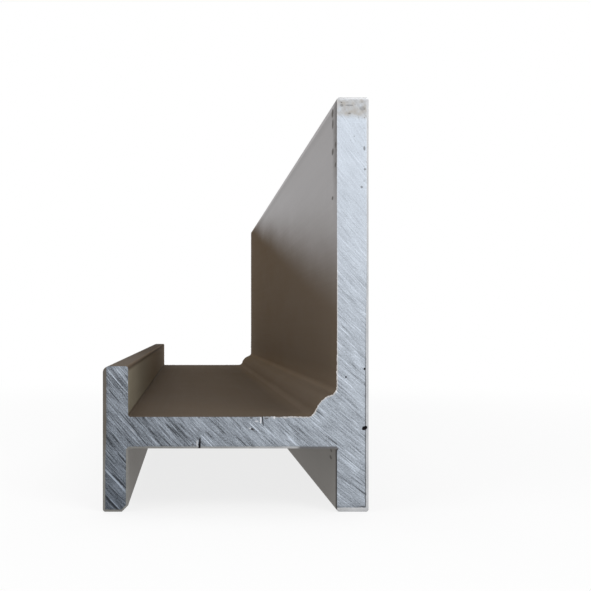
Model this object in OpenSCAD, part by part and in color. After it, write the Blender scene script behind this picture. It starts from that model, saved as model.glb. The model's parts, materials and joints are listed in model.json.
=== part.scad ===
// Aluminium extrusion, h-shaped section: a tall flange, a web with a beaded corner,
// and a lip that stands above the web and runs down past it as a foot.
// The section lies in X and Z, the bar runs along Y and stands on its two feet.

/* [Section] */
// Height of the tall flange, from its foot to its top edge
flange_height = 65.5; // [45:0.5:120]
// Thickness of the tall flange
flange_thickness = 5; // [3:0.1:8]
// Overall width, from the outside of the lip to the back of the flange
overall_width = 42; // [30:0.5:80]
// Thickness of the web between the flange and the lip
web_thickness = 5; // [3:0.1:8]
// Thickness of the lip and of the foot below it
lip_thickness = 4; // [2.5:0.1:6]
// Height of the lip above the web
lip_upstand = 8; // [5:0.5:16]
// Height of the web above the floor
foot_height = 10; // [5:0.5:20]

/* [Corners] */
// Radius of the convex bead in the corner of flange and web
bead_radius = 3.5; // [1.5:0.1:6]
// Radius of the two hollows that run the bead out into flange and web
bead_run_out = 1.4; // [0.4:0.1:2.5]
// Radius in the corner of web and lip, on the channel side
channel_root_radius = 0.4; // [0.3:0.1:2]
// Radius in the two corners under the web
under_root_radius = 0.3; // [0.2:0.1:2]
// Radius on the outer top edge of the lip
lip_edge_radius = 1; // [0.4:0.1:2]
// Radius on the inner top edge of the lip
lip_inner_radius = 0.4; // [0.2:0.1:1]
// Chamfer on the inner toe of the lip's foot
toe_chamfer = 1; // [0.4:0.1:2]
// Radius on the edges of the tall flange and the outer toe of the lip's foot
edge_radius = 0.4; // [0.2:0.1:1]

/* [Stock] */
// Length the bar is sawn to
cut_length = 200; // [50:1:6000]

/* [Hidden] */
$fn = 96;

// Faces of the section
lip_outside = -overall_width / 2;
lip_inside = lip_outside + lip_thickness;
flange_back = overall_width / 2;
flange_inside = flange_back - flange_thickness;
web_underside = foot_height;
web_top = web_underside + web_thickness;
lip_top = web_top + lip_upstand;

// How far the bead and its run-outs reach from the corner along each face
bead_reach = sqrt(bead_radius * bead_radius + 2 * bead_radius * bead_run_out);

mill_finish = [0.64, 0.62, 0.59];

// Sliver between a square corner at the origin and the circle tangent to its two sides.
// Added to an inside corner it is a root radius, cut from an outside corner it rounds the edge.
module corner_sliver(radius, at, turned = 0) {
    translate(at) rotate(turned)
        difference() {
            square(radius);
            translate([radius, radius]) circle(radius);
        }
}

// Triangle across a square corner at the origin, for a straight chamfer
module corner_chamfer(leg, at, turned = 0) {
    translate(at) rotate(turned)
        polygon([[0, 0], [leg, 0], [0, leg]]);
}

// Hollow that runs the bead out along one face of the corner
module bead_run_out_fill() {
    difference() {
        polygon([[0, 0], [bead_reach, 0], [bead_reach, bead_run_out]]);
        translate([bead_reach, bead_run_out]) circle(bead_run_out);
    }
}

// Convex quarter-round that fills the inside corner of flange and web
module corner_bead() {
    translate([flange_inside, web_top]) rotate(90) {
        intersection() {
            circle(bead_radius);
            square(bead_radius);
        }
        bead_run_out_fill();
        mirror([1, -1]) bead_run_out_fill();
    }
}

module flange_section() {
    difference() {
        translate([flange_inside, 0]) square([flange_thickness, flange_height]);
        corner_sliver(edge_radius, [flange_inside, 0]);
        corner_sliver(edge_radius, [flange_back, 0], 90);
        corner_sliver(edge_radius, [flange_back, flange_height], 180);
        corner_sliver(edge_radius, [flange_inside, flange_height], 270);
    }
}

module web_section() {
    translate([lip_inside, web_underside]) square([flange_inside - lip_inside, web_thickness]);
    corner_bead();
    corner_sliver(channel_root_radius, [lip_inside, web_top]);
    corner_sliver(under_root_radius, [lip_inside, web_underside], 270);
    corner_sliver(under_root_radius, [flange_inside, web_underside], 180);
}

module lip_section() {
    difference() {
        translate([lip_outside, 0]) square([lip_thickness, lip_top]);
        corner_sliver(edge_radius, [lip_outside, 0]);
        corner_chamfer(toe_chamfer, [lip_inside, 0], 90);
        corner_sliver(lip_inner_radius, [lip_inside, lip_top], 180);
        corner_sliver(lip_edge_radius, [lip_outside, lip_top], 270);
    }
}

module bar_section() {
    flange_section();
    web_section();
    lip_section();
}

// The whole bar: one extruded piece, sawn square at both ends
module profile() {
    color(mill_finish)
        rotate([90, 0, 0])
            linear_extrude(height = cut_length, center = true)
                bar_section();
}

profile();
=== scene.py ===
"""A sawn length of aluminium extrusion with an h-shaped section, standing on its two feet.

The bar is one piece. Its section is drawn, extruded, trimmed along the edges and then sawn: the kerf
that a round blade takes out of each end is modelled with its tooth marks and cut away.
"""

import json
import logging
import math
from collections.abc import Callable, Iterator
from contextlib import contextmanager
from dataclasses import dataclass, field
from enum import Enum
from typing import Any

import bmesh
import bpy
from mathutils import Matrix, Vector, noise

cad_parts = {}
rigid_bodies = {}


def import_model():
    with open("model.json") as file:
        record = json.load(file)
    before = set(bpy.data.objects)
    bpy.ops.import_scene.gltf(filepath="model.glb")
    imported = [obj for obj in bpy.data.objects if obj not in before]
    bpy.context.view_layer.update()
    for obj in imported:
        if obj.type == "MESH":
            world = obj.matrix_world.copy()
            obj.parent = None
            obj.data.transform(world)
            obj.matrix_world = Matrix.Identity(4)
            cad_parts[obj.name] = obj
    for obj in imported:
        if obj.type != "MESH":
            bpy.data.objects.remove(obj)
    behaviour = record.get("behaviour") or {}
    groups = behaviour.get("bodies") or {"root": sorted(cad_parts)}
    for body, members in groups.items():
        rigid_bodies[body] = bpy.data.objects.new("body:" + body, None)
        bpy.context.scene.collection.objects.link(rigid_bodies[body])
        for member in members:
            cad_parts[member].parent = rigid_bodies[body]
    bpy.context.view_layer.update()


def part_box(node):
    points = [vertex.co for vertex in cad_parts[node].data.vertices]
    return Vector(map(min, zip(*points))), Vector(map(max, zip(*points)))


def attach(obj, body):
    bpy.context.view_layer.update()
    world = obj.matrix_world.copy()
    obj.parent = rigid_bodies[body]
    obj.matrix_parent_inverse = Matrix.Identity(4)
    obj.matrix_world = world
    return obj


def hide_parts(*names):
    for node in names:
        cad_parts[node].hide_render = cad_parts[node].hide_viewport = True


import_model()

MM = 0.001
SAME_POINT = 0.01 * MM
SAME_PLANE = 0.001 * MM
PHOTO_SIDE = 591
BODY = "root"
NODE = "profile"

log = logging.getLogger("extrusion")

Span = tuple[float, float]
Colour = tuple[float, float, float]
WHITE: Colour = (1.0, 1.0, 1.0)


def srgb(red: float, green: float, blue: float) -> Colour:
    """Turns a colour as seen on a screen, 0 to 255, into the linear one that a shader takes.

    Args:
        red: Red, 0 to 255.
        green: Green, 0 to 255.
        blue: Blue, 0 to 255.

    Returns:
        The linear red, green and blue, 0 to 1.
    """
    def linear(level: float) -> float:
        """One channel of the colour, made linear."""
        share = level / 255
        return share / 12.92 if share <= 0.04045 else ((share + 0.055) / 1.055) ** 2.4

    return linear(red), linear(green), linear(blue)


class BarEnd(Enum):
    """The two sawn ends, by the way that each faces along the bar."""

    NEAR = -1
    FAR = 1


class Element(Enum):
    """What a selection picks, as the edit mode names it."""

    VERT = "VERT"
    EDGE = "EDGE"
    FACE = "FACE"


class Joining(Enum):
    """How a tool is combined with the piece that it works on."""

    CUT = "DIFFERENCE"
    ADD = "UNION"


class Finish(Enum):
    """The bar's finishes, by their place among its materials."""

    MILL = 0
    SAWN = 1
    FILED = 2
    SCAR = 3


Finishes = dict[Finish, bpy.types.Material]


class Workpiece:
    """A mesh object under the modeller's hands, with the moves made on it."""

    def __init__(self, obj: bpy.types.Object) -> None:
        """Takes up a mesh object."""
        self.obj = obj

    @classmethod
    def _settled(cls, name: str, scale: tuple[float, float, float]) -> "Workpiece":
        """Names the primitive just added, scales it and puts its place into its mesh.

        Args:
            name: The object's name.
            scale: Its scale along its own axes.

        Returns:
            The workpiece, at the origin, unturned and unscaled.
        """
        obj = bpy.context.active_object
        obj.name = name
        obj.data.name = name
        obj.scale = scale
        bpy.ops.object.transform_apply(location=True, rotation=True, scale=True)
        return cls(obj)

    @classmethod
    def plane(cls, name: str, centre: Vector, width: float, height: float) -> "Workpiece":
        """Adds an upright plane across the bar.

        Args:
            name: The object's name.
            centre: The plane's middle.
            width: Its size along X.
            height: Its size along Z.

        Returns:
            The new workpiece.
        """
        bpy.ops.object.select_all(action="DESELECT")
        bpy.ops.mesh.primitive_plane_add(size=1, location=centre, rotation=(math.pi / 2, 0, 0))
        return cls._settled(name, (width, height, 1))

    @classmethod
    def pebble(cls, name: str, centre: Vector, radii: Vector, turn: float) -> "Workpiece":
        """Adds a rough, slightly irregular ellipsoid, to press a pit or a nick with.

        Args:
            name: The object's name.
            centre: The pebble's middle.
            radii: Its half sizes along X, Y and Z before it is turned.
            turn: Its turn about Y, in radians.

        Returns:
            The new workpiece.
        """
        bpy.ops.object.select_all(action="DESELECT")
        bpy.ops.mesh.primitive_ico_sphere_add(
            subdivisions=3, radius=1, location=centre, rotation=(0, turn, 0))
        piece = cls._settled(name, tuple(radii))
        with piece.editing():
            piece.pick_all()
            bpy.ops.transform.vertex_random(offset=0.12 * min(radii), seed=len(name))
        return piece

    @contextmanager
    def editing(self) -> Iterator[None]:
        """Opens the piece alone in edit mode, and closes it again.

        Yields:
            Nothing. The piece is in edit mode meanwhile.
        """
        self.alone()
        bpy.ops.object.mode_set(mode="EDIT")
        try:
            yield
        finally:
            bpy.ops.object.mode_set(mode="OBJECT")

    def pick(self, element: Element, test: Callable[[Any], bool]) -> int:
        """Selects, in edit mode, the elements that pass a test.

        Args:
            element: Whether vertices, edges or faces are picked.
            test: Says of an element whether it is picked.

        Returns:
            How many were picked.
        """
        bpy.ops.mesh.select_mode(type=element.value)
        bpy.ops.mesh.select_all(action="DESELECT")
        mesh = bmesh.from_edit_mesh(self.obj.data)
        elements = {Element.VERT: mesh.verts, Element.EDGE: mesh.edges, Element.FACE: mesh.faces}[element]
        picked = [item for item in elements if test(item)]
        for item in picked:
            item.select_set(True)
        mesh.select_flush_mode()
        bmesh.update_edit_mesh(self.obj.data)
        return len(picked)

    def pick_at(self, element: Element, test: Callable[[Vector], bool]) -> None:
        """Selects, in edit mode, the elements whose middle point passes a test."""
        self.pick(element, lambda item: test(self._middle(item)))

    def pick_point(self, element: Element, place: Vector) -> None:
        """Selects, in edit mode, the element whose middle is at a given point."""
        self.pick_at(element, lambda point: (point - place).length < SAME_POINT)

    @staticmethod
    def pick_all() -> None:
        """Selects, in edit mode, the whole piece."""
        bpy.ops.mesh.select_all(action="SELECT")

    def slice(self, place: tuple[float, float, float], across: tuple[float, float, float]) -> None:
        """Draws new edges, in edit mode, where the plane through a place crosses the piece."""
        self.pick_all()
        bpy.ops.mesh.bisect(plane_co=place, plane_no=across)

    def face_outwards(self) -> None:
        """Turns all faces outwards, in edit mode."""
        self.pick_all()
        bpy.ops.mesh.normals_make_consistent(inside=False)

    @staticmethod
    def _middle(item: Any) -> Vector:
        """Finds the middle of a vertex, an edge or a face.

        Args:
            item: The element.

        Returns:
            The mean of its vertices' places.
        """
        if isinstance(item, bmesh.types.BMVert):
            return item.co
        return sum((vert.co for vert in item.verts), Vector()) / len(item.verts)

    def alone(self) -> None:
        """Makes the piece the only selected object, and the active one."""
        bpy.ops.object.select_all(action="DESELECT")
        bpy.context.view_layer.objects.active = self.obj
        self.obj.select_set(True)

    def wear(self, finishes: Finishes, finish: Finish) -> "Workpiece":
        """Gives the piece the bar's list of materials, with one finish all over.

        Args:
            finishes: The bar's materials.
            finish: The finish that every face takes.

        Returns:
            The piece itself.
        """
        mesh = self.obj.data
        mesh.materials.clear()
        for each in Finish:
            mesh.materials.append(finishes[each])
        mesh.polygons.foreach_set("material_index", [finish.value] * len(mesh.polygons))
        return self

    def combine(self, tool: "Workpiece", joining: Joining) -> None:
        """Cuts a tool out of the piece, or adds it, and throws the tool away.

        Args:
            tool: The closed mesh to work with.
            joining: Whether it is cut away or added.
        """
        modifier = self.obj.modifiers.new(tool.obj.name, "BOOLEAN")
        modifier.operation = joining.value
        modifier.solver = "MANIFOLD"
        modifier.object = tool.obj
        self.alone()
        bpy.ops.object.modifier_apply(modifier=modifier.name)
        bpy.data.objects.remove(tool.obj)

    def clear_scraps(self, on_piece: Callable[[Vector], bool], finest: float) -> None:
        """Removes what the tools left over.

        These are flattened faces, vertices that only two edges meet, and crumbs off the piece.

        Args:
            on_piece: Says of a point whether it is surely on the piece itself.
            finest: The length below which an edge counts as flattened.
        """
        with self.editing():
            self.pick_all()
            bpy.ops.mesh.dissolve_degenerate(threshold=finest)
            while self.pick(Element.VERT, lambda vert: len(vert.link_edges) == 2):
                bpy.ops.mesh.dissolve_verts()
            self.pick_at(Element.VERT, on_piece)
            bpy.ops.mesh.select_linked()
            bpy.ops.mesh.select_all(action="INVERT")
            bpy.ops.mesh.delete(type="VERT")


@dataclass(frozen=True)
class Section:
    """The bar's section in X and Z, with the sizes of the part's source, in metres."""

    low: Vector
    high: Vector
    flange_thickness: float = 5 * MM
    web_thickness: float = 5 * MM
    lip_thickness: float = 4 * MM
    lip_upstand: float = 8 * MM
    foot_height: float = 10 * MM
    bead_radius: float = 3.5 * MM
    bead_run_out: float = 1.4 * MM
    channel_root_radius: float = 0.4 * MM
    under_root_radius: float = 0.3 * MM
    lip_edge_radius: float = 1 * MM
    lip_inner_radius: float = 0.4 * MM
    toe_chamfer: float = 1 * MM
    edge_radius: float = 0.4 * MM

    @property
    def lip_outside(self) -> float:
        """X of the lip's outer face."""
        return self.low.x

    @property
    def lip_inside(self) -> float:
        """X of the lip's inner face."""
        return self.low.x + self.lip_thickness

    @property
    def flange_inside(self) -> float:
        """X of the flange's inner face."""
        return self.high.x - self.flange_thickness

    @property
    def flange_back(self) -> float:
        """X of the flange's outer face."""
        return self.high.x

    @property
    def floor(self) -> float:
        """Z of the two feet."""
        return self.low.z

    @property
    def web_underside(self) -> float:
        """Z of the web's lower face."""
        return self.low.z + self.foot_height

    @property
    def web_top(self) -> float:
        """Z of the web's upper face."""
        return self.web_underside + self.web_thickness

    @property
    def lip_top(self) -> float:
        """Z of the lip's top."""
        return self.web_top + self.lip_upstand

    @property
    def flange_top(self) -> float:
        """Z of the flange's top."""
        return self.high.z

    @property
    def bead_reach(self) -> float:
        """How far the bead and its run-outs reach from the corner along each face."""
        return math.sqrt(self.bead_radius ** 2 + 2 * self.bead_radius * self.bead_run_out)

    def is_air(self, point: Vector) -> bool:
        """Says whether a point in the section's box lies outside the metal.

        Args:
            point: The point, away from the section's outline.

        Returns:
            Whether there is no metal.
        """
        if point.x > self.flange_inside:
            return False
        if point.x < self.lip_inside:
            return point.z > self.lip_top
        return not self.web_underside < point.z < self.web_top

    def on_channel_side(self, point: Vector) -> bool:
        """Says whether a point of the outline borders the channel or the lip's top."""
        return self.lip_outside + SAME_POINT < point.x < self.flange_inside + SAME_POINT \
            and self.web_top - SAME_POINT < point.z < self.flange_top - SAME_POINT

    def under_the_web(self, point: Vector) -> bool:
        """Says whether a point of the outline is on the flange's flat inner face under the web."""
        return abs(point.x - self.flange_inside) < SAME_POINT and point.z < self.web_underside - 1 * MM

    def in_millimetres(self) -> "Section":
        """The same section with its sizes in millimetres, as the finishes read them."""
        return Section(**{name: size / MM for name, size in vars(self).items()})

    def rounded_corners(self) -> list[tuple[float, float, float, int]]:
        """The corners that are rounded or chamfered.

        Returns:
            X, Z, radius and number of segments of each corner.
        """
        return [
            (self.lip_outside, self.floor, self.edge_radius, 5),
            (self.lip_inside, self.floor, self.toe_chamfer, 1),
            (self.lip_inside, self.web_underside, self.under_root_radius, 4),
            (self.flange_inside, self.web_underside, self.under_root_radius, 4),
            (self.flange_inside, self.floor, self.edge_radius, 5),
            (self.flange_back, self.floor, self.edge_radius, 5),
            (self.flange_back, self.flange_top, self.edge_radius, 5),
            (self.flange_inside, self.flange_top, self.edge_radius, 5),
            (self.lip_inside, self.web_top, self.channel_root_radius, 5),
            (self.lip_inside, self.lip_top, self.lip_inner_radius, 5),
            (self.lip_outside, self.lip_top, self.lip_edge_radius, 8),
        ]


@dataclass(frozen=True)
class Score:
    """A long line that one tooth left on the near end, along the blade's arc.

    It starts at X and Z and runs down to the right, with its sizes in millimetres. A tone above 0 is
    a lighter and shallower line, one below 0 a darker and deeper one.
    """

    x: float
    z: float
    length: float
    half_width: float
    tone: float


@dataclass(frozen=True)
class ToothNoise:
    """One layer of the teeth's marks: its cells across and along the arcs in mm, its seed and weight."""

    across: float
    along: float
    seed: float
    weight: float

    def at(self, radius: float, arc: float, seed: float) -> float:
        """The layer's noise at one point of one cut, about -1 to 1."""
        return noise.noise(Vector((radius / self.across, arc / self.along, seed + self.seed)))


@dataclass(frozen=True)
class SawBlade:
    """The round blade that both ends were cut with, and the marks that its teeth leave."""

    centre_x: float = 123.8 * MM
    centre_z: float = 137.6 * MM
    kerf: float = 3 * MM
    ring_step: float = 0.05 * MM
    arc_step: float = 0.8 * MM
    deepest: float = 0.09 * MM
    eased_from: float = 30 * MM
    eased_over: float = 25 * MM
    easing: float = 0.65
    near_seed: float = 3.0
    far_seed: float = 71.0
    mean_share: float = 0.34
    swell: ToothNoise = ToothNoise(1.9, 38, 0, 0.22)
    ridge: ToothNoise = ToothNoise(0.62, 16, 11, 0.24)
    scratch: ToothNoise = ToothNoise(0.24, 9, 23, 0.16)
    gouge: ToothNoise = ToothNoise(0.4, 12, 37, 0.9)
    gouge_above: float = 0.28
    score_share: float = 0.4
    scores: tuple[Score, ...] = (
        # In the lip's foot
        Score(-20.6, 6.7, 5.2, 0.18, 2.2),
        Score(-19.6, 6.2, 3.6, 0.22, -0.6),
        Score(-19.9, 2.1, 2.6, 0.1, 1.6),
        Score(-20.4, 2.2, 2.8, 0.18, -0.5),
        Score(-18.7, 9.2, 2.3, 0.15, -0.6),
        # In the lip
        Score(-20.7, 13.4, 3.6, 0.14, -0.5),
        Score(-20.1, 22.3, 3.4, 0.11, 1.0),
        Score(-19.9, 21.8, 2.9, 0.12, -0.6),
        Score(-18.9, 22.6, 3.0, 0.15, 0.9),
        Score(-20.0, 19.3, 3.1, 0.11, -0.6),
        # In the web
        Score(-16.6, 13.2, 2.9, 0.13, 0.8),
        Score(-15.8, 12.5, 3.1, 0.18, -0.55),
        Score(-13.0, 15.0, 6.0, 0.11, 0.55),
        Score(-11.6, 15.0, 2.2, 0.12, 0.7),
        Score(-11.0, 14.0, 2.8, 0.15, -0.55),
        Score(-12.8, 11.7, 2.6, 0.2, -0.5),
        Score(-10.9, 15.3, 7.5, 1.5, -0.15),
        Score(-5.5, 12.1, 3.4, 0.12, 1.2),
        Score(2.2, 14.0, 2.9, 0.12, 1.0),
        Score(4.7, 13.2, 2.3, 0.1, 0.9),
        Score(8.2, 11.8, 2.1, 0.12, 0.9),
        # In the flange
        Score(16.4, 8.7, 4.9, 0.24, 0.6),
        Score(16.5, 5.7, 2.8, 0.1, -0.6),
    )

    def polar(self, x: float, z: float) -> tuple[float, float]:
        """Gives a point of the cut as radius and angle about the blade's axis.

        Args:
            x: X of the point.
            z: Z of the point.

        Returns:
            The radius in metres and the angle in radians, from -X downwards.
        """
        across, down = self.centre_x - x, self.centre_z - z
        return math.hypot(across, down), math.atan2(down, across)

    def bite(self, z: float) -> float:
        """How hard the teeth bit at a height: fully over web and lip, and less up the flange.

        Args:
            z: Height on the cut, in metres.

        Returns:
            The share of the full depth, 0 to 1.
        """
        return 1 - self.easing * min(1.0, max(0.0, (z - self.eased_from) / self.eased_over))

    def tooth_mark(self, radius: float, arc: float, seed: float) -> float:
        """How deep the teeth went at one point of the cut.

        Args:
            radius: Distance from the blade's axis, in millimetres.
            arc: Distance along the arc, in millimetres.
            seed: Sets one cut apart from another.

        Returns:
            The depth below the end's plane, in metres.
        """
        share = self.mean_share
        for layer in (self.swell, self.ridge, self.scratch):
            share += layer.weight * layer.at(radius, arc, seed)
        share += self.gouge.weight * max(0.0, self.gouge.at(radius, arc, seed) - self.gouge_above)
        return self.deepest * min(1.0, max(0.0, share))

    def scored(self, radius: float, angle: float) -> float:
        """How much the long scores change the depth at one point of the cut.

        Args:
            radius: Distance from the blade's axis, in metres.
            angle: Angle about the axis, in radians.

        Returns:
            The change in depth, in metres.
        """
        change = 0.0
        for score in self.scores:
            at, start = self.polar(score.x * MM, score.z * MM)
            off = abs(radius - at) / (score.half_width * MM)
            if off < 1 and 0 < (angle - start) * at < score.length * MM:
                change -= math.copysign(self.score_share, score.tone) * (1 - off) * self.deepest
        return change


@dataclass(frozen=True)
class Nick:
    """A pit, notch or crack in the near end: place and half sizes in mm, turn in radians."""

    name: str
    x: float
    z: float
    half_width: float
    half_height: float
    depth: float
    turn: float = 0.0


@dataclass
class SawnBar:
    """The bar: one extruded piece, trimmed along its edges and sawn at both ends."""

    section: Section
    finishes: Finishes
    blade: SawBlade = field(default_factory=SawBlade)
    name: str = "bar"
    collar: float = 1.5 * MM
    stations: int = 8
    edge_band: float = 0.36 * MM
    edge_band_depth: float = 0.2 * MM
    burr_height: float = 0.13 * MM
    burr_step: float = 0.16 * MM
    burr_shares: Span = (0.14, 1.25)
    burr_full_within: float = 7 * MM
    burr_gone_beyond: float = 13 * MM
    split_x: float = 6 * MM
    split_reach: float = 4.5 * MM
    finest_edge: float = 0.0003 * MM
    straight_within: float = math.radians(1)
    smooth_below: float = math.radians(32)
    nicks: tuple[Nick, ...] = (
        Nick("pit_by_the_back", 20.35, 13.25, 0.46, 0.31, 0.55, -0.5),
        Nick("notch_under_the_web", -5.72, 10.1, 0.17, 1.75, 0.35, 0.05),
        Nick("split_over_the_web", 4.25, 14.6, 0.09, 1.1, 0.3, -0.1),
        Nick("dent_in_the_web", 2.55, 13.1, 0.2, 0.14, 0.18),
        Nick("dot_over_the_bead", 17.4, 21.3, 0.15, 0.13, 0.2),
        Nick("dot_by_the_back", 20.35, 22.6, 0.16, 0.2, 0.2),
    )

    def end_y(self, end: BarEnd) -> float:
        """Y of one end's plane."""
        return self.section.low.y if end is BarEnd.NEAR else self.section.high.y

    def build(self) -> Workpiece:
        """Models the bar.

        Returns:
            The finished bar, with the finishes that its tools left on it.
        """
        bar = self._drawn_section()
        self._turn_bead(bar)
        self._extrude(bar)
        bar.wear(self.finishes, Finish.MILL)
        burrs = [self._burr(bar, end) for end in BarEnd]
        for end in BarEnd:
            self._trim_edges(bar, end)
        for burr in burrs:
            bar.combine(burr.wear(self.finishes, Finish.FILED), Joining.ADD)
        for end in BarEnd:
            bar.combine(self._kerf(end).wear(self.finishes, Finish.SAWN), Joining.CUT)
        for nick in self.nicks:
            bar.combine(self._nick_tool(nick).wear(self.finishes, Finish.SCAR), Joining.CUT)
        bar.clear_scraps(self._between_ends, self.finest_edge)
        return bar

    def _between_ends(self, point: Vector) -> bool:
        """Says whether a point lies well away from both ends, where no tool left crumbs."""
        away = 5 * self.collar
        return self.section.low.y + away < point.y < self.section.high.y - away

    def _drawn_section(self) -> Workpiece:
        """Cuts the section out of its bounding rectangle and rounds its corners.

        Returns:
            The section as one face at the near end, with a sharp corner where the bead goes.
        """
        section = self.section
        middle = (section.low + section.high) / 2
        middle.y = self.end_y(BarEnd.NEAR)
        size = section.high - section.low
        bar = Workpiece.plane(self.name, middle, size.x, size.z)
        with bar.editing():
            for x in (section.lip_inside, section.flange_inside):
                bar.slice((x, 0, 0), (1, 0, 0))
            for z in (section.web_underside, section.web_top, section.lip_top):
                bar.slice((0, 0, z), (0, 0, 1))
            bar.pick_at(Element.FACE, section.is_air)
            bpy.ops.mesh.delete(type="FACE")
            bar.pick_all()
            bpy.ops.mesh.dissolve_limited(angle_limit=self.straight_within)
            for x, z, radius, segments in section.rounded_corners():
                bar.pick_point(Element.VERT, Vector((x, middle.y, z)))
                bpy.ops.mesh.bevel(affect="VERTICES", offset=radius, segments=segments, profile=0.5)
        return bar

    def _turn_bead(self, bar: Workpiece) -> None:
        """Draws the bead and its two run-outs into the section's sharp corner, and fills the section.

        Args:
            bar: The section as one face.
        """
        section = self.section
        y = self.end_y(BarEnd.NEAR)
        corner = Vector((section.flange_inside, y, section.web_top))
        start = corner - Vector((section.bead_reach, 0, 0))
        finish = corner + Vector((0, 0, section.bead_reach))
        low_hollow = start + Vector((0, 0, section.bead_run_out))
        high_hollow = finish - Vector((section.bead_run_out, 0, 0))
        hollow_turn = math.atan2(section.bead_reach, section.bead_run_out)
        bead_turn = 2 * hollow_turn - math.pi / 2
        with bar.editing():
            bar.pick_point(Element.VERT, corner)
            bpy.ops.mesh.bevel(affect="VERTICES", offset=section.bead_reach, segments=1)
            bar.pick_all()
            bpy.ops.mesh.delete(type="ONLY_FACE")
            bar.pick_point(Element.EDGE, (start + finish) / 2)
            bpy.ops.mesh.delete(type="EDGE")
            bar.pick_point(Element.VERT, start)
            arcs = (
                (low_hollow, hollow_turn, 10),
                (corner, -bead_turn, 16),
                (high_hollow, hollow_turn, 10))
            for centre, turn, steps in arcs:
                bpy.ops.mesh.spin(steps=steps, angle=turn, center=centre, axis=(0, 1, 0))
            bar.pick_all()
            bpy.ops.mesh.remove_doubles(threshold=SAME_POINT / 2)
            bpy.ops.mesh.edge_face_add()

    def _extrude(self, bar: Workpiece) -> None:
        """Extrudes the section along the bar, with a short collar at each end and stations between.

        Args:
            bar: The section as one face.
        """
        length = self.section.high.y - self.section.low.y
        between = length - 2 * self.collar
        with bar.editing():
            bar.pick_all()
            bpy.ops.mesh.extrude_region_move(TRANSFORM_OT_translate={"value": (0, length, 0)})
            for station in range(self.stations + 1):
                y = self.section.low.y + self.collar + between * station / self.stations
                bar.slice((0, y, 0), (0, 1, 0))
            bar.face_outwards()

    def _trim_edges(self, bar: Workpiece, end: BarEnd) -> None:
        """Breaks the end's outer edges, where the saw leaves the metal and a file takes off the burr.

        Args:
            bar: The extruded bar.
            end: The end to trim.
        """
        y = self.end_y(end)
        inward = -end.value

        def on_outer_edge(point: Vector) -> bool:
            """Says whether an edge of the end borders the bar's outside, where a file reaches it."""
            return abs(point.y - y) < SAME_PLANE and not (
                self.section.on_channel_side(point) or self.section.under_the_web(point))

        def on_band(point: Vector) -> bool:
            """Says whether a vertex is on the far side of the new band."""
            return abs(point.y - (y + inward * self.edge_band)) < 2 * SAME_POINT

        def is_band(point: Vector) -> bool:
            """Says whether a face lies in the new band."""
            return 0.1 < inward * (point.y - y) / self.edge_band_depth < 0.9

        with bar.editing():
            bar.pick_at(Element.EDGE, on_outer_edge)
            bpy.ops.mesh.bevel(affect="EDGES", offset=self.edge_band, segments=1, clamp_overlap=False)
            bar.pick_at(Element.VERT, on_band)
            bpy.ops.transform.translate(value=(0, inward * (self.edge_band_depth - self.edge_band), 0))
            bar.pick_at(Element.FACE, is_band)
            bar.obj.active_material_index = Finish.FILED.value
            bpy.ops.object.material_slot_assign()

    def _burr(self, bar: Workpiece, end: BarEnd) -> Workpiece:
        """Models the ragged burr that the blade left along the channel's edge.

        Args:
            bar: The extruded bar, whose edge the burr follows.
            end: The end that it stands on.

        Returns:
            The burr as a closed wire of uneven thickness, to be added to the bar.
        """
        y = self.end_y(end)
        section = self.section

        def on_burred_edge(point: Vector) -> bool:
            """Says whether an edge of the end borders the inside of the channel."""
            return abs(point.y - y) < SAME_PLANE and section.on_channel_side(point) \
                and point.x > section.lip_inside - SAME_POINT

        with bar.editing():
            bar.pick_at(Element.EDGE, on_burred_edge)
            bpy.ops.mesh.duplicate()
            bpy.ops.mesh.separate(type="SELECTED")
        burr = Workpiece(next(obj for obj in bpy.context.selected_objects if obj is not bar.obj))
        burr.obj.name = f"burr_{end.name.lower()}"
        with burr.editing():
            while burr.pick(Element.EDGE, lambda edge: edge.calc_length() > self.burr_step):
                bpy.ops.mesh.subdivide(number_cuts=1)
        burr.alone()
        bpy.ops.object.convert(target="CURVE")
        wire = burr.obj.data
        wire.bevel_depth = self.burr_height
        wire.bevel_resolution = 1
        wire.use_fill_caps = True
        for spline in wire.splines:
            for point in spline.points:
                point.radius = self._burr_share(point.co.xyz)
        bpy.ops.object.convert(target="MESH")
        with burr.editing():
            burr.pick_all()
            bpy.ops.mesh.remove_doubles(threshold=SAME_PLANE / 2)
            burr.face_outwards()
        return burr

    def _burr_share(self, point: Vector) -> float:
        """How much burr stands at one point of the channel's edge.

        Args:
            point: The point on the edge.

        Returns:
            Its share of the burr's full height.
        """
        section = self.section
        corner = Vector((section.flange_inside, point.y, section.web_top))
        fading = self.burr_gone_beyond - self.burr_full_within
        on_bead = min(1.0, max(0.0, (self.burr_gone_beyond - (point - corner).length) / fading))
        on_web = point.z < section.web_top + 0.1 * MM
        at_split = max(0.0, 1 - abs(point.x - self.split_x) / self.split_reach) if on_web else 0.0
        ragged = noise.noise(point / (0.7 * MM)) + 0.8 * noise.noise(point / (0.25 * MM))
        share = max(on_bead, 0.8 * at_split, 0.3) * (0.55 + 0.9 * ragged)
        least, most = self.burr_shares
        return min(most, max(least, share))

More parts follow.
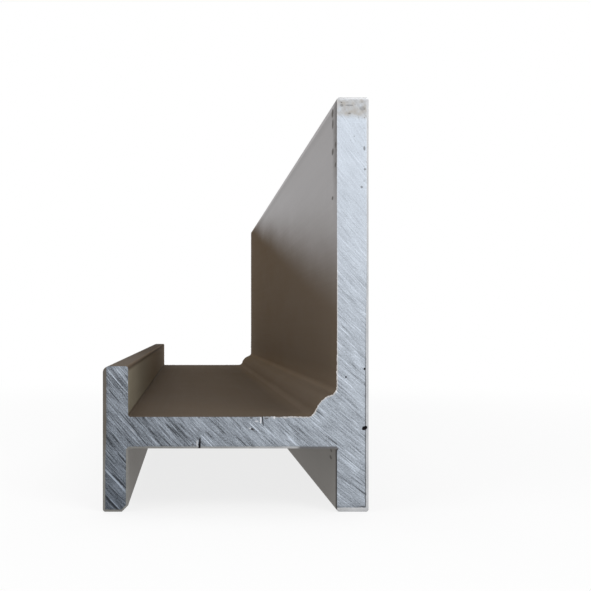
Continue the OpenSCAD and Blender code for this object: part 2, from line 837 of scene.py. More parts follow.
    def _kerf(self, end: BarEnd) -> Workpiece:
        """Models what the blade takes out of one end: arcs about its axis, roughened by its teeth.

        Args:
            end: The end to saw.

        Returns:
            The kerf as a closed block, to be cut from the bar.
        """
        section, blade = self.section, self.blade
        y = self.end_y(end)
        reach = [blade.polar(x, z) for x, z in (
            (section.flange_inside, section.flange_top), (section.flange_back, section.flange_top),
            (section.flange_back, section.floor), (section.lip_outside, section.floor),
            (section.lip_outside, section.lip_top))]
        margin = 1 * MM
        inner = min(radius for radius, _ in reach) - margin
        outer = max(radius for radius, _ in reach) + margin
        first = min(angle for _, angle in reach) - margin / inner
        last = max(angle for _, angle in reach) + margin / inner
        coarser = 1
        parts_of_a_cut = 100
        cuts = round((outer - inner) / (blade.ring_step * coarser) / parts_of_a_cut)
        steps = round((last - first) * outer / blade.arc_step)
        axis = Vector((blade.centre_x, y, blade.centre_z))
        along = Vector((-math.cos(first), 0, -math.sin(first)))

        half_side = 0.5 * MM
        kerf = Workpiece.plane(f"kerf_{end.name.lower()}", axis, 2 * half_side, 2 * half_side)
        with kerf.editing():
            kerf.pick_at(Element.VERT, lambda point: point.z < axis.z)
            bpy.ops.mesh.delete(type="VERT")
            for side, radius in ((-1, inner), (1, outer)):
                start = axis + Vector((side * half_side, 0, half_side))
                kerf.pick_point(Element.VERT, start)
                bpy.ops.transform.translate(value=axis + along * radius - start)
            kerf.pick_all()
            bpy.ops.mesh.subdivide(number_cuts=cuts - 1)
            bpy.ops.mesh.subdivide(number_cuts=parts_of_a_cut - 1)
            kerf.pick_all()
            bpy.ops.mesh.spin(steps=steps, angle=last - first, center=axis, axis=(0, 1, 0))
            kerf.pick_all()
            bpy.ops.mesh.extrude_region_move(
                TRANSFORM_OT_translate={"value": (0, end.value * blade.kerf, 0)})
            kerf.face_outwards()
        self._roughen(kerf, end)
        return kerf

    def _roughen(self, kerf: Workpiece, end: BarEnd) -> None:
        """Presses the teeth's marks into the kerf's face that meets the bar.

        Args:
            kerf: The smooth kerf.
            end: The end that it saws.
        """
        y = self.end_y(end)
        seed = self.blade.near_seed if end is BarEnd.NEAR else self.blade.far_seed
        for vert in kerf.obj.data.vertices:
            if abs(vert.co.y - y) < SAME_PLANE:
                radius, angle = self.blade.polar(vert.co.x, vert.co.z)
                depth = self.blade.tooth_mark(radius / MM, angle * radius / MM, seed)
                if end is BarEnd.NEAR:
                    depth = min(self.blade.deepest, max(0.0, depth + self.blade.scored(radius, angle)))
                vert.co.y = y - end.value * depth * self.blade.bite(vert.co.z)

    def _nick_tool(self, nick: Nick) -> Workpiece:
        """Makes the pebble that presses one nick into the near end.

        Args:
            nick: The nick's place and size.

        Returns:
            The closed tool.
        """
        centre = Vector((nick.x * MM, self.end_y(BarEnd.NEAR), nick.z * MM))
        radii = Vector((nick.half_width, nick.depth, nick.half_height)) * MM
        return Workpiece.pebble(nick.name, centre, radii, nick.turn)

    def dress(self, bar: Workpiece) -> None:
        """Smooths the bar's shading, hangs it on the part's body and hides the CAD part that it stands in
        for.

        Args:
            bar: The finished bar, with the finishes that its tools left on it.
        """
        bar.alone()
        bpy.ops.object.shade_smooth_by_angle(angle=self.smooth_below)
        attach(bar.obj, BODY)
        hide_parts(NODE)


class Signal:
    """A number that runs through a material, with Python's operators as Math nodes."""

    def __init__(self, graph: "Graph", socket: bpy.types.NodeSocket) -> None:
        """Wraps the socket that the number comes out of."""
        self.graph = graph
        self.socket = socket

    def _math(self, operation: str, *inputs: "Signal | float") -> "Signal":
        """Adds a Math node.

        Args:
            operation: The node's operation.
            inputs: Its values, in order.

        Returns:
            Its result.
        """
        node = self.graph.node("ShaderNodeMath", {"operation": operation}, dict(enumerate(inputs)))
        return Signal(self.graph, node.outputs[0])

    def __add__(self, other: "Signal | float") -> "Signal":
        """This plus another."""
        return self._math("ADD", self, other)

    def __radd__(self, other: float) -> "Signal":
        """A number plus this."""
        return self._math("ADD", other, self)

    def __sub__(self, other: "Signal | float") -> "Signal":
        """This less another."""
        return self._math("SUBTRACT", self, other)

    def __rsub__(self, other: float) -> "Signal":
        """A number less this."""
        return self._math("SUBTRACT", other, self)

    def __mul__(self, other: "Signal | float") -> "Signal":
        """This times another."""
        return self._math("MULTIPLY", self, other)

    def __rmul__(self, other: float) -> "Signal":
        """A number times this."""
        return self._math("MULTIPLY", other, self)

    def __truediv__(self, other: "Signal | float") -> "Signal":
        """This over another."""
        return self._math("DIVIDE", self, other)

    def __abs__(self) -> "Signal":
        """This without its sign."""
        return self._math("ABSOLUTE", self)

    def root(self) -> "Signal":
        """The square root of this."""
        return self._math("SQRT", self)

    def angle_over(self, other: "Signal") -> "Signal":
        """The angle whose tangent is this over another."""
        return self._math("ARCTAN2", self, other)

    def at_most(self, other: "Signal | float") -> "Signal":
        """The lesser of this and another."""
        return self._math("MINIMUM", self, other)

    def at_least(self, other: "Signal | float") -> "Signal":
        """The greater of this and another."""
        return self._math("MAXIMUM", self, other)

    def rise(self, low: float, high: float) -> "Signal":
        """Goes smoothly from 0 to 1.

        Args:
            low: The value at and below which the result is 0.
            high: The value at and above which it is 1.

        Returns:
            The smooth step.
        """
        node = self.graph.node(
            "ShaderNodeMapRange", {"interpolation_type": "SMOOTHSTEP"},
            {"Value": self, "From Min": low, "From Max": high})
        return Signal(self.graph, node.outputs["Result"])

    def fall(self, low: float, high: float) -> "Signal":
        """Goes smoothly from 1 to 0 where rise goes from 0 to 1."""
        return 1.0 - self.rise(low, high)


class Graph:
    """The nodes of one material or world, and the few ways of adding to them."""

    def __init__(self, owner: bpy.types.Material | bpy.types.World) -> None:
        """Empties the owner's node tree.

        Args:
            owner: The material or world.
        """
        owner.use_nodes = True
        self.tree = owner.node_tree
        self.tree.nodes.clear()

    def node(self, kind: str, settings: dict[str, Any] | None = None,
             inputs: dict[str | int, Any] | None = None) -> bpy.types.Node:
        """Adds a node.

        Args:
            kind: The node's type.
            settings: Its own settings, set first.
            inputs: Values, signals or sockets for its inputs, by name or number.

        Returns:
            The new node.
        """
        node = self.tree.nodes.new(kind)
        for name, setting in (settings or {}).items():
            setattr(node, name, setting)
        for name, given in (inputs or {}).items():
            socket = node.inputs[name]
            if isinstance(given, Signal):
                self.tree.links.new(given.socket, socket)
            elif isinstance(given, bpy.types.NodeSocket):
                self.tree.links.new(given, socket)
            elif socket.type == "RGBA":
                socket.default_value = (*given, 1.0)
            else:
                socket.default_value = given
        return node

    def place(self) -> tuple[Signal, Signal, Signal]:
        """Adds the nodes that give the surface point's place.

        Returns:
            X, Y and Z in the part's frame, in millimetres.
        """
        spot = self.node("ShaderNodeTexCoord").outputs["Object"]
        axes = self.node("ShaderNodeSeparateXYZ", inputs={"Vector": spot}).outputs
        return tuple(Signal(self, axes[name]) * (1 / MM) for name in "XYZ")

    def noise(self, x: Signal | float, y: Signal | float, z: Signal | float,
              detail: float = 2.0, roughness: float = 0.5) -> Signal:
        """Smooth noise of about -1 to 1.

        Args:
            x: First coordinate, in noise cells.
            y: Second coordinate.
            z: Third coordinate.
            detail: How many finer layers are added.
            roughness: How strong the finer layers are.

        Returns:
            The noise.
        """
        spot = self.node("ShaderNodeCombineXYZ", inputs={"X": x, "Y": y, "Z": z}).outputs[0]
        node = self.node("ShaderNodeTexNoise", inputs={
            "Vector": spot, "Scale": 1.0, "Detail": detail, "Roughness": roughness})
        return (Signal(self, node.outputs[0]) - 0.5) * 2.0

    def mix(self, share: Signal | float, first: Any, second: Any) -> bpy.types.NodeSocket:
        """Mixes two colours.

        Args:
            share: How much of the second, 0 to 1.
            first: The first colour or its socket.
            second: The second colour or its socket.

        Returns:
            The mixed colour's socket.
        """
        node = self.node("ShaderNodeMix", {"data_type": "RGBA"}, {0: share, 6: first, 7: second})
        return node.outputs[2]

    def tinted(self, colour: Any, gain: Signal) -> bpy.types.NodeSocket:
        """A colour made lighter or darker by a factor."""
        node = self.node("ShaderNodeVectorMath", {"operation": "SCALE"}, {"Vector": colour, "Scale": gain})
        return node.outputs[0]

    def finish(self, **inputs: Any) -> None:
        """Ends a material with a Principled BSDF.

        Args:
            inputs: Its sockets, with underscores for the spaces in their names.
        """
        named = {name.replace("_", " "): given for name, given in inputs.items()}
        shader = self.node("ShaderNodeBsdfPrincipled", inputs=named)
        self.node("ShaderNodeOutputMaterial", inputs={"Surface": shader.outputs[0]})

    def bump(self, height: Signal, distance: float, strength: float) -> bpy.types.NodeSocket:
        """A normal bent by fine relief.

        Args:
            height: The relief, about -1 to 1.
            distance: The height of one unit, in metres.
            strength: How much of it shows, 0 to 1.

        Returns:
            The normal's socket.
        """
        node = self.node("ShaderNodeBump", inputs={
            "Height": height, "Distance": distance, "Strength": strength})
        return node.outputs["Normal"]


@dataclass(frozen=True)
class FiledFinish:
    """The narrow band that a file left round each end, and the burr: plain grey, rubbed across."""

    section: Section
    # Left to right: painted light, as if the band were lit from the back.
    left: Colour = srgb(124, 123, 119)
    right: Colour = srgb(192, 193, 195)
    lip_brown: Colour = srgb(92, 86, 79)
    # The dark line's colour, also used as painted shade by the lower corner.
    seam: Colour = srgb(74, 74, 77)

    def material(self) -> bpy.types.Material:
        """Builds the finish.

        Returns:
            The material.
        """
        material = bpy.data.materials.new("filed_edge")
        graph = Graph(material)
        x, y, z = graph.place()
        rub = graph.noise(x / 0.3, y / 0.05, z / 0.3, 2.0, 0.6)
        colour = graph.tinted(self.colour(graph, x, z), 1.0 + 0.2 * rub)
        graph.finish(Base_Color=colour, Metallic=0.8, Roughness=0.44 + 0.1 * rub,
                     Normal=graph.bump(rub, 0.01 * MM, 0.6))
        return material

    def colour(self, graph: Graph, x: Signal, z: Signal) -> bpy.types.NodeSocket:
        """The filed metal's colour.

        Lighter towards the back (painted light), browner up the lip, with painted shade by the lower
        corner.

        Args:
            graph: The nodes of the material that shows it.
            x: Place across the bar, in millimetres.
            z: Height, in millimetres.

        Returns:
            The colour's socket.
        """
        section = self.section
        inner = section.flange_inside
        under = section.web_underside
        patch = graph.noise(x / 2.2, z / 2.2, 47.0, 2.0)
        # Painted light: lighter towards the back, as if lit from that side.
        colour = graph.mix((x + 3.0 * patch).rise(-24.0, 24.0), self.left, self.right)
        # Browner higher up the lip's outer edge.
        down_the_lip = (x.fall(section.lip_outside + 0.8, section.lip_outside + 1.2)
                        * (z + 3.0 * patch).rise(4.0, 14.0))
        colour = graph.mix(down_the_lip * 0.9, colour, self.lip_brown)
        # Painted shade: the band is darkened beside the lower corner, under the web's right side.
        by_corner = (z.fall(under + 0.5, under + 0.7) * z.rise(under - 1.0, under - 0.8)
                     * x.rise(inner - 6.6, inner - 5.6) * x.fall(inner + 0.5, inner + 0.7))
        colour = graph.mix(by_corner * 0.8, colour, self.seam)
        return graph.tinted(colour, 1.0 + 0.14 * patch)


@dataclass(frozen=True)
class Spot:
    """A small mark on a face, by its place along and up the face and its half sizes, in mm.

    A tone above 0 is a bright mark, one below 0 a dark one.
    """

    along: float
    up: float
    half_length: float
    half_height: float
    tone: float = -1.0

    def shown(self, along: Signal, up: Signal, frayed: Signal | float) -> Signal:
        """How much of the mark shows at a point.

        Args:
            along: The point's place along the face, in millimetres.
            up: Its place up the face, in millimetres.
            frayed: Noise that frays the mark's outline, or 0.

        Returns:
            0 outside the mark, and the strength of its tone within.
        """
        off_along = (along - self.along) / self.half_length
        off_up = (up - self.up) / self.half_height
        return abs(self.tone) * (off_along * off_along + off_up * off_up + frayed).fall(0.3, 1.2)


@dataclass(frozen=True)
class SawnFinish:
    """Bare aluminium as the saw left it: blue-grey arcs of light and dark scores.

    Each noise is given by its cell sizes in millimetres, across and along the arcs, and by a seed. The
    weights that it is added with are shares of the metal's own brightness.
    """

    section: Section
    blade: SawBlade
    filed: FiledFinish
    # Dark at the lower left, light at the upper right: the metal's own tone together with painted light.
    dark: Colour = srgb(82, 88, 96)
    light: Colour = srgb(203, 211, 221)
    stain: Colour = srgb(174, 171, 167)
    soot: Colour = srgb(70, 67, 66)
    rim: Colour = srgb(218, 212, 205)
    tear: Colour = srgb(222, 222, 225)
    tone_start: float = 0.15
    tone_across: float = 0.0102
    tone_up: float = 0.0103
    tone_up_the_lip: float = 0.004
    mean_radius: float = 165.0
    out_of_reach: float = 9.0
    line_share: Span = (0.22, 0.38)
    sooty_heights: Span = (30.0, 45.0)
    seam_heights: Span = (18.0, 32.0)
    rim_from_lip: Span = (19.0, 27.0)
    rim_heights: Span = (34.0, 46.0)
    flecks: tuple[Spot, ...] = (
        Spot(3.95, 14.5, 0.12, 0.65, 0.9),
        Spot(-6.1, 10.8, 0.09, 0.65, 0.9),
        Spot(6.1, 14.9, 0.16, 0.3, 0.9),
        Spot(3.3, 14.3, 0.3, 0.12, 0.6),
        Spot(7.8, 14.85, 0.3, 0.14, 0.5),
        Spot(2.3, 13.2, 0.22, 0.12, 0.6),
        Spot(2.45, 14.85, 0.3, 0.17, -0.7),
        Spot(4.8, 14.8, 0.35, 0.16, -0.7),
        Spot(6.9, 14.95, 0.25, 0.12, -0.6),
        Spot(2.75, 13.0, 0.24, 0.15, -0.75),
        Spot(-6.8, 10.6, 0.2, 0.16, -0.7),
        Spot(-5.8, 14.9, 0.25, 0.14, -0.6),
        Spot(-15.9, 14.85, 0.4, 0.12, -0.5),
        Spot(18.7, 59.3, 0.18, 0.14, -0.45),
        Spot(20.3, 57.5, 0.2, 0.4, -0.6),
        Spot(20.4, 54.1, 0.22, 0.2, -0.6),
        Spot(19.9, 51.3, 0.2, 0.18, -0.6),
        Spot(17.9, 62.9, 0.3, 0.16, -0.45),
        Spot(18.0, 64.2, 0.7, 0.15, -0.4),
        Spot(16.7, 64.2, 0.3, 0.25, -0.4),
        Spot(20.0, 63.7, 0.5, 0.4, -0.3),
    )

    def material(self) -> bpy.types.Material:
        """Builds the finish.

        Returns:
            The material.
        """
        material = bpy.data.materials.new("sawn_end")
        graph = Graph(material)
        section = self.section
        x, y, z = graph.place()
        across = self.blade.centre_x / MM - x
        down = self.blade.centre_z / MM - z
        radius = (across * across + down * down).root()
        angle = down.angle_over(across)
        arc = angle * self.mean_radius
        side = y * 0.05

        def on_face(cell: float, seed: float, detail: float = 2.0) -> Signal:
            """Noise with round cells, not the same on both ends."""
            return graph.noise(x / cell, z / cell, side + seed, detail)

        def on_arcs(place: Signal, width: float, length: float, seed: float,
                    detail: float = 1.0, roughness: float = 0.5) -> Signal:
            """Noise with cells drawn out along the arcs, not the same on both ends."""
            return graph.noise(radius / width, place / length, side + seed, detail, roughness)

        staggered = arc + on_face(1.1, 51.0)
        swell = on_arcs(arc, 1.5, 12.0, 0.0, 2.0)
        ridge = on_arcs(staggered, 0.45, 4.8, 5.0, 2.0, 0.6)
        score = on_arcs(staggered, 0.17, 3.0, 9.0, 2.0, 0.65)
        hair = on_arcs(arc, 0.1, 3.5, 13.0)
        light_line = on_arcs(arc, 0.22, 5.0, 17.0).rise(*self.line_share)
        dark_line = on_arcs(arc, 0.28, 4.5, 29.0).rise(*self.line_share)
        grit = on_face(0.2, 57.0, 1.0)
        cloud = on_face(3.4, 3.0, 3.0)
        patch = on_face(1.3, 63.0)

        near = y.fall(-1.0, 1.0)
        half_length = (section.high.y - section.low.y) / 2
        depth = half_length - abs(y)
        groove = depth.rise(0.2 * self.blade.deepest / MM, 0.8 * self.blade.deepest / MM)

        # The tone climbs from the lower left to the upper right: partly the sawn metal's own tone, partly
        # painted light, as if lit from the upper right.
        tone = (self.tone_start + self.tone_across * (x - (section.lip_outside + 2.0))
                + self.tone_up * (z - (section.web_underside + 2.5)))
        in_lip = x.fall(section.lip_inside - 1.0, section.lip_inside + 2.0)
        tone = tone + self.tone_up_the_lip * in_lip * (z - (section.web_underside + 2.5))
        lift = tone.at_least(0.0).at_most(0.95)
        streaks = (0.55 * swell + 1.0 * ridge + 1.35 * score + 0.65 * hair + 1.0 * grit
                   + 0.95 * light_line - 0.8 * dark_line - 0.35 * (groove - 0.4)
                   + near * self._long_scores(graph, radius, angle))
        streaks = streaks * (1.0 - 0.96 * lift) + lift * (0.06 * cloud + 0.05 * patch + 0.1 * grit)
        colour = graph.mix(lift, self.dark, self.light)
        colour = graph.tinted(colour, (1.0 + streaks).at_least(0.3))

        top = (z + 0.8 * cloud + 0.4 * patch).rise(section.flange_top - 3.6, section.flange_top - 2.5)
        colour = graph.mix((top * (0.7 + 0.9 * patch)).at_least(0.0).at_most(1.0), colour, self.stain)
        high_at_the_back = (x.rise(section.flange_back - 1.6, section.flange_back - 0.4)
                            * z.rise(*self.sooty_heights))
        sooty = on_face(0.5, 41.0).rise(0.3, 0.46)
        colour = graph.mix(sooty * (0.08 + 0.55 * top + 0.4 * high_at_the_back), colour, self.soot)

        ragged = graph.noise(x / 0.5, z / 0.5, 91.0, 2.0, 0.6)
        for torn, sign in ((self.soot, -1), (self.tear, 1)):
            flecks = sum(fleck.shown(x, z, ragged) for fleck in self.flecks if fleck.tone * sign > 0)
            colour = graph.mix(flecks.at_most(0.9) * near, colour, torn)
        colour = graph.mix(self._torn_rim(x, z, ragged), colour, self.rim)
        edge = self._from_edge(x, z) + 0.2 * ragged
        # The dark line along the filed band's inner border, stronger low at the back. Its colour is also
        # the painted shade by the lower corner.
        seam = edge.rise(0.85, 1.05) * edge.fall(1.15, 1.45)
        by_the_back = x.rise(section.flange_back - 2.0, section.flange_back - 1.0)
        low_by_the_back = by_the_back * z.fall(*self.seam_heights)
        colour = graph.mix(seam * (0.2 + 0.6 * low_by_the_back), colour, self.filed.seam)
        colour = graph.mix(edge.fall(0.85, 1.0), colour, self.filed.colour(graph, x, z))

        worn = 0.1 * ridge + 0.08 * light_line - 0.12 * groove
        roughness = (0.42 - worn * (1.0 - 0.6 * lift) + 0.12 * top).at_least(0.2)
        relief = (0.6 * ridge + 0.5 * score + 0.4 * light_line - 0.5 * dark_line) * (1.0 - 0.75 * lift)
        graph.finish(Base_Color=colour, Metallic=0.82, Roughness=roughness,
                     Normal=graph.bump(relief, 0.012 * MM, 0.8))
        return material

    def _from_edge(self, x: Signal, z: Signal) -> Signal:
        """How far a point of the sawn face lies from its filed edges, in widths of the filed band.

        Args:
            x: Place across the bar, in millimetres.
            z: Height, in millimetres.

        Returns:
            0 at an edge, 1 where its band ends, and more inside.
        """
        section = self.section
        foot = section.lip_inside
        flange = section.flange_inside
        under = section.web_underside
        off_web = 1.0 - x.rise(foot - 0.1, foot) * x.fall(flange, flange + 0.1)
        off_foot = z.rise(under, under + 0.1)
        sides = (
            (x - section.lip_outside) / (0.42 + 0.2 * z.rise(6.0, 14.0)),
            (section.flange_back - x) / (0.46 - 0.26 * z.rise(28.0, 45.0)),
            (z - section.floor) / (0.4 + 0.35 * x.rise(-5.0, 5.0)),
            (section.flange_top - z) / 0.2,
            abs(z - under) / 0.36 + self.out_of_reach * off_web,
            abs(x - foot) / 0.36 + self.out_of_reach * off_foot)
        nearest = sides[0]
        for side in sides[1:]:
            nearest = nearest.at_most(side)
        return nearest

    def _torn_rim(self, x: Signal, z: Signal, ragged: Signal) -> Signal:
        """Finds the thin bright burr along the channel's edge, over the web, the bead and the flange.

        Args:
            x: Place across the bar, in millimetres.
            z: Height, in millimetres.
            ragged: Noise that frays the burr.

        Returns:
            How much of the burr shows, 0 to 1.
        """
        section = self.section
        radius, reach, run_out = section.bead_radius, section.bead_reach, section.bead_run_out
        out = section.flange_inside - x
        up = z - section.web_top
        depth = (radius - (out * out + up * up).root()).at_least(-1.0 * up).at_least(-1.0 * out)
        for along, off in ((out, up), (up, out)):
            past, over = along - reach, off - run_out
            hollow = (past * past + over * over).root() - run_out
            below_the_arc = (along * (run_out / reach) - off).rise(-0.02, 0.02)
            beside = below_the_arc * along.fall(reach, reach + 0.1)
            depth = depth.at_least(hollow * beside + self.out_of_reach * (beside - 1.0))
        over_the_web = (x - section.lip_inside).rise(*self.rim_from_lip)
        near_edge = (depth + 0.1 * ragged).fall(0.04, 0.18)
        up_the_flange = 1.0 - 0.85 * z.rise(*self.rim_heights)
        return near_edge * over_the_web * up_the_flange * (0.55 + 0.5 * ragged).at_least(0.15).at_most(0.9)

    def _long_scores(self, graph: Graph, radius: Signal, angle: Signal) -> Signal:
        """Draws the blade's long scores.

        Args:
            graph: The material's nodes.
            radius: Distance from the blade's axis, in millimetres.
            angle: Angle about it, in radians.

        Returns:
            The scores' tone, above 0 where they are lighter.
        """
        frayed = graph.noise(radius / 0.16, angle * 50.0, 77.0, 1.0)

        def shown(score: Score) -> Signal:
            """Draws one score.

            Args:
                score: The score's place and size.

            Returns:
                Its tone where it shows, and 0 elsewhere.
            """
            at, start = self.blade.polar(score.x * MM, score.z * MM)
            stop = start + score.length * MM / at
            fade = 0.18 * (stop - start)
            off = abs(radius - at / MM) / score.half_width + 0.3 * frayed
            along = angle.rise(start - fade, start + fade) * angle.fall(stop - 2 * fade, stop + fade)
            return score.tone * along * off.fall(0.35, 1.15)

        return sum(shown(score) for score in self.blade.scores)


@dataclass(frozen=True)
class ScarFinish:
    """The inside of a pit or crack: dull and nearly black, with a little metal showing through."""

    deep: Colour = srgb(34, 30, 35)
    torn: Colour = srgb(84, 80, 80)

    def material(self) -> bpy.types.Material:
        """Builds the finish.

        Returns:
            The material.
        """
        material = bpy.data.materials.new("scar")
        graph = Graph(material)
        x, y, z = graph.place()
        torn = graph.noise(x / 0.12, y / 0.12, z / 0.12, 2.0, 0.7)
        colour = graph.mix(torn.rise(0.1, 0.5), self.deep, self.torn)
        graph.finish(Base_Color=colour, Metallic=0.3, Roughness=0.75 + 0.15 * torn,
                     Normal=graph.bump(torn, 0.03 * MM, 0.8))
        return material


@dataclass(frozen=True)
class MillFinish:
    """The skin as it left the die: satin grey with fine lines, and painted brown shade in the channel.

    The painted shade's edge climbs along the flange from the near end to the far one, and gets sharper.
    Each noise is given by its cell sizes in millimetres. The spans say where a look starts and ends:
    lengths are from the near end, heights from the floor.
    """

    section: Section
    plain: Colour = srgb(177, 176, 178)
    # Painted shade in the channel: brown, darker further along the bar.
    channel_shade_near: Colour = srgb(96, 83, 69)
    channel_shade_far: Colour = srgb(76, 59, 37)
    lip_side_near: Colour = srgb(140, 132, 115)
    lip_side_far: Colour = srgb(116, 99, 75)
    lip_near: Colour = srgb(86, 76, 66)
    lip_far: Colour = srgb(54, 41, 26)
    shaded: Colour = srgb(149, 147, 144)
    speck: Colour = srgb(62, 58, 55)
    # Painted shade under the web, by the near end.
    undercut_shade: Colour = srgb(44, 44, 46)
    shade_edge_start: float = 41.4
    shade_edge_slope: float = 0.142
    shade_edge_softness: Span = (12.0, 4.0)
    channel_shade_lengths: Span = (-40.0, 150.0)
    lip_lengths: Span = (0.0, 130.0)
    lip_side_lengths: Span = (10.0, 120.0)
    smear_lengths: Span = (0.8, 5.4)
    smear_heights: Span = (44.0, 60.0)
    specks: tuple[Spot, ...] = (
        Spot(4.6, 64.0, 1.1, 0.8),
        Spot(4.3, 62.2, 0.9, 0.9),
        Spot(4.4, 57.7, 1.1, 0.6),
        Spot(1.7, 58.3, 0.7, 0.5),
        Spot(1.7, 55.1, 0.8, 0.4),
        Spot(4.6, 50.2, 1.0, 0.35),
        Spot(6.0, 8.9, 1.1, 0.3),
        Spot(6.5, 7.7, 1.4, 0.35),
    )

    def material(self) -> bpy.types.Material:
        """Builds the finish.

        Returns:
            The material.
        """
        material = bpy.data.materials.new("mill_skin")
        graph = Graph(material)
        section = self.section
        x, y, z = graph.place()
        from_near = y - section.low.y
        length = section.high.y - section.low.y
        inner = section.flange_inside
        floor = section.web_top

        def drawn_out(width: float, length: float, detail: float, roughness: float = 0.5) -> Signal:
            """Noise with cells drawn out along the bar."""
            return graph.noise(x / width, y / length, z / width, detail, roughness)

        band = drawn_out(2.6, 180.0, 2.0)
        line = drawn_out(0.5, 120.0, 3.0, 0.65)
        hair = drawn_out(0.14, 60.0, 1.0)
        mottle = drawn_out(9.0, 26.0, 4.0, 0.6)
        grain = drawn_out(0.7, 1.4, 3.0, 0.7)

        inside = (x.rise(section.lip_inside - 0.5, section.lip_inside - 0.35)
                  * x.fall(inner + 0.05, inner + 0.25) * z.rise(floor - 0.2, floor))
        # Painted shade in the channel: brown below an edge that climbs along the flange.
        soft_near, soft_far = self.shade_edge_softness
        softness = soft_near + (soft_far - soft_near) / length * from_near
        shade_edge = (z - (self.shade_edge_start + self.shade_edge_slope * from_near) + 1.6 * mottle + 0.5 * line) / softness
        channel_shade = inside * shade_edge.fall(-1.0, 1.0)
        on_lip = (x.fall(section.lip_inside - 0.4, section.lip_inside)
                  * z.rise(section.lip_top - 1.2, section.lip_top - 0.2))
        below = (z.fall(section.web_underside, section.web_underside + 0.2)
                 * x.rise(section.lip_inside - 0.3, section.lip_inside - 0.1)
                 * x.fall(inner + 0.1, inner + 0.3))
        by_lip = (x.fall(section.lip_inside + 0.02, section.lip_inside + 0.2)
                  * z.rise(floor + 0.2, floor + 0.7)
                  * z.fall(section.lip_top - 1.0, section.lip_top - 0.3))
        on_floor = z.fall(floor + 0.2, floor + 3.0) * (1.0 - by_lip)

        colour = graph.mix(below, self.plain, self.shaded)
        lip_top = graph.mix(from_near.rise(*self.lip_lengths), self.lip_near, self.lip_far)
        colour = graph.mix(on_lip, colour, lip_top)
        # The painted shade darkens further along the bar.
        far_along = (from_near + 14.0 * mottle).rise(*self.channel_shade_lengths)
        brown = graph.mix(far_along, self.channel_shade_near, self.channel_shade_far)
        # Painted light and shade in the brown: lighter round the bead's corner, darker on the bead's upper
        # part and along the web's top.
        out = inner - x
        up = z - floor
        from_corner = (out * out + up * up).root()
        on_bead = from_corner.fall(section.bead_radius + 0.05, section.bead_radius + 0.4)
        in_corner = from_corner.fall(section.bead_reach, section.bead_reach + 3.0)
        even = 1.0 + 0.22 * in_corner - 0.22 * on_bead * up.rise(1.0, 2.4) - 0.25 * on_floor
        brown = graph.tinted(brown, even)
        # Painted light: the lip's inner side takes a much lighter brown than the rest of the channel.
        lip_side = graph.mix(from_near.rise(*self.lip_side_lengths), self.lip_side_near, self.lip_side_far)
        brown = graph.mix(by_lip, brown, lip_side)
        colour = graph.mix(channel_shade, colour, brown)
        # Painted highlight along the flange's top edge, with a painted shadow line under it.
        top_edge = z.rise(section.flange_top - 1.2, section.flange_top - 0.8)
        under_it = z.rise(section.flange_top - 3.0, section.flange_top - 1.6) * (1.0 - top_edge)
        colour = graph.tinted(colour, 1.0 + 0.2 * top_edge - 0.09 * under_it)
        gain = 1.0 + 0.04 * band + 0.06 * line + 0.03 * hair + 0.06 * mottle + 0.04 * grain
        colour = graph.tinted(colour, gain)

        on_flange = x.rise(inner - 0.3, inner - 0.1) * x.fall(inner + 0.05, inner + 0.25)
        by_near_end = (from_near + 1.5 * grain + 1.5 * mottle).fall(*self.smear_lengths)
        smear = on_flange * by_near_end * z.rise(*self.smear_heights)
        spots = sum(speck.shown(from_near, z, 0.0) for speck in self.specks).at_most(1.0) * on_flange
        # Painted shade: darker on the flange's inner face under the web, close to the near end.
        by_end = on_flange * below * (from_near + 0.3 * grain).fall(1.2, 1.8)
        colour = graph.mix(0.9 * by_end, colour, self.undercut_shade)
        colour = graph.mix((0.6 * smear + 0.8 * spots).at_most(0.85), colour, self.speck)

        brown_share = (channel_shade + on_lip).at_most(1.0)
        roughness = 0.46 + 0.06 * mottle + 0.05 * line + 0.34 * brown_share
        relief = 0.5 * line + 0.25 * hair + 0.3 * band + 0.15 * grain
        graph.finish(Base_Color=colour, Metallic=0.85 - 0.7 * brown_share, Roughness=roughness,
                     Specular_IOR_Level=0.12, Specular_Tint=(0.5, 0.48, 0.46),
                     Normal=graph.bump(relief, 0.006 * MM, 0.6))
        return material


@dataclass(frozen=True)
class Lamp:
    """A soft box: a square area light, aimed at a point."""

    name: str
    place: Vector
    aim: Vector
    side: float
    power: float

    def light(self) -> None:
        """Adds the lamp to the scene."""
        turn = (self.aim - self.place).to_track_quat("-Z", "Y").to_euler()
        bpy.ops.object.light_add(type="AREA", location=self.place, rotation=turn)
        lamp = bpy.context.active_object
        lamp.name = self.name
        lamp.data.size = self.side
        lamp.data.energy = self.power


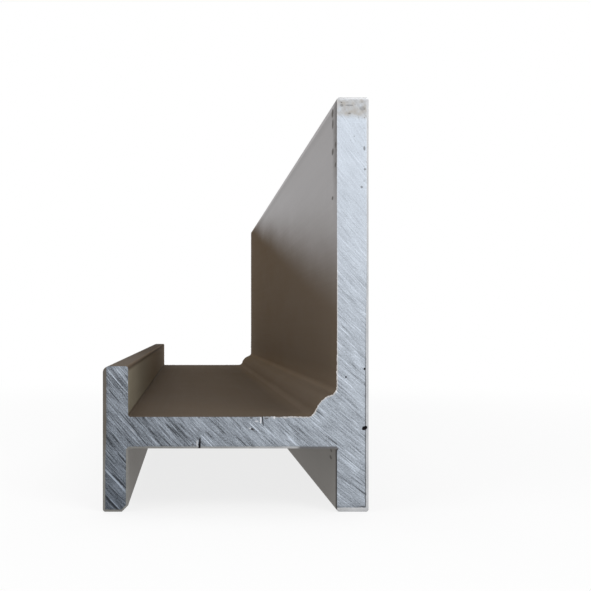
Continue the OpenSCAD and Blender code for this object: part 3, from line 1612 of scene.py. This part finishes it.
@dataclass
class Studio:
    """The pale floor, the light around the bar and the camera."""

    section: Section
    floor_side: float = 8.0
    floor_gap: float = 0.05 * MM
    floor_paint: Colour = (0.86, 0.86, 0.86)
    floor_glow: float = 0.8
    shadow_reach: Span = (90.0, 260.0)
    ambient: float = 0.62
    vanishing_px: tuple[float, float] = (190.0, 328.0)
    middle_px: float = 235.75
    floor_px: float = 512.0
    px_per_mm: float = 6.336
    focal_px: float = 899.0
    sensor: float = 36.0

    def build(self) -> None:
        """Sets up floor, world, lamps and camera."""
        self._floor()
        self._world()
        middle = Vector((0, 0, 0.03))
        for lamp in (
                Lamp("key", Vector((0.55, -0.75, 0.75)), middle, 0.5, 3.5),
                Lamp("fill", Vector((-0.7, -0.5, 0.55)), middle, 0.6, 2.0),
                Lamp("top", Vector((0.0, 0.3, 1.0)), middle, 0.7, 2.5)):
            lamp.light()
        self._camera()
        bpy.context.scene.view_settings.view_transform = "Standard"

    @staticmethod
    def _seen(graph: Graph) -> Signal:
        """Tells the rays that show floor and world as such from those that only carry their light.

        Args:
            graph: The nodes of the floor or the world.

        Returns:
            1 for camera, glossy and transmission rays, and 0 for others.
        """
        path = graph.node("ShaderNodeLightPath").outputs
        kinds = ("Camera", "Glossy", "Transmission")
        return sum(Signal(graph, path[f"Is {kind} Ray"]) for kind in kinds).at_most(1.0)

    def _floor(self) -> None:
        """Adds the white floor, which keeps a light shadow of the bar."""
        bpy.ops.object.select_all(action="DESELECT")
        bpy.ops.mesh.primitive_plane_add(
            size=self.floor_side, location=(0, 0, self.section.floor - self.floor_gap))
        floor = bpy.context.active_object
        floor.name = "floor"
        bpy.ops.object.transform_apply(location=True, rotation=True, scale=True)
        material = bpy.data.materials.new("floor_white")
        graph = Graph(material)
        paint = graph.node("ShaderNodeBsdfDiffuse", inputs={"Color": self.floor_paint})
        glow = graph.node("ShaderNodeEmission", inputs={"Color": WHITE, "Strength": 1.0})
        x, y, _ = graph.place()
        away = (x * x + y * y).root().rise(*self.shadow_reach)
        share = self._seen(graph) * (self.floor_glow + (1.0 - self.floor_glow) * away)
        mixed = graph.node("ShaderNodeMixShader", inputs={
            0: share, 1: paint.outputs[0], 2: glow.outputs[0]})
        graph.node("ShaderNodeOutputMaterial", inputs={"Surface": mixed.outputs[0]})
        floor.data.materials.append(material)

    def _world(self) -> None:
        """Sets an even white world, at full white where it is seen and at a plain level as light."""
        world = bpy.data.worlds.new("studio")
        bpy.context.scene.world = world
        graph = Graph(world)
        seen = self._seen(graph)
        shade = graph.node("ShaderNodeBackground", inputs={
            "Color": WHITE, "Strength": self.ambient + (1.0 - self.ambient) * seen})
        graph.node("ShaderNodeOutputWorld", inputs={"Surface": shade.outputs[0]})

    def _camera(self) -> None:
        """Places the camera square to the near end, with the photograph's vanishing point."""
        px = self.px_per_mm / MM
        place = Vector((
            (self.vanishing_px[0] - self.middle_px) / px,
            self.section.low.y - self.focal_px / px,
            self.section.floor + (self.floor_px - self.vanishing_px[1]) / px))
        bpy.ops.object.camera_add(location=place, rotation=(math.pi / 2, 0, 0))
        camera = bpy.context.active_object
        camera.name = "camera"
        camera.data.sensor_width = self.sensor
        camera.data.lens = self.focal_px * self.sensor / PHOTO_SIDE
        camera.data.shift_x = 0.5 - self.vanishing_px[0] / PHOTO_SIDE
        camera.data.shift_y = self.vanishing_px[1] / PHOTO_SIDE - 0.5
        camera.data.clip_start = 10 * MM
        bpy.context.scene.camera = camera


def main() -> None:
    """Builds the bar and the studio, and logs how many faces the bar has."""
    logging.basicConfig(level=logging.INFO, format="%(name)s: %(message)s")
    low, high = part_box(NODE)
    section = Section(low, high)
    saw = SawBlade()
    millimetres = section.in_millimetres()
    filed = FiledFinish(millimetres)

    finishes = {
        Finish.MILL: MillFinish(millimetres).material(),
        Finish.SAWN: SawnFinish(millimetres, saw, filed).material(),
        Finish.FILED: filed.material(),
        Finish.SCAR: ScarFinish().material(),
    }
    maker = SawnBar(section, finishes, saw)
    bar = maker.build()
    maker.dress(bar)
    log.info("%s: %d faces", bar.obj.name, len(bar.obj.data.polygons))

    Studio(section).build()
    log.info("studio: floor, world, lamps and camera")


if __name__ == "__main__":
    main()
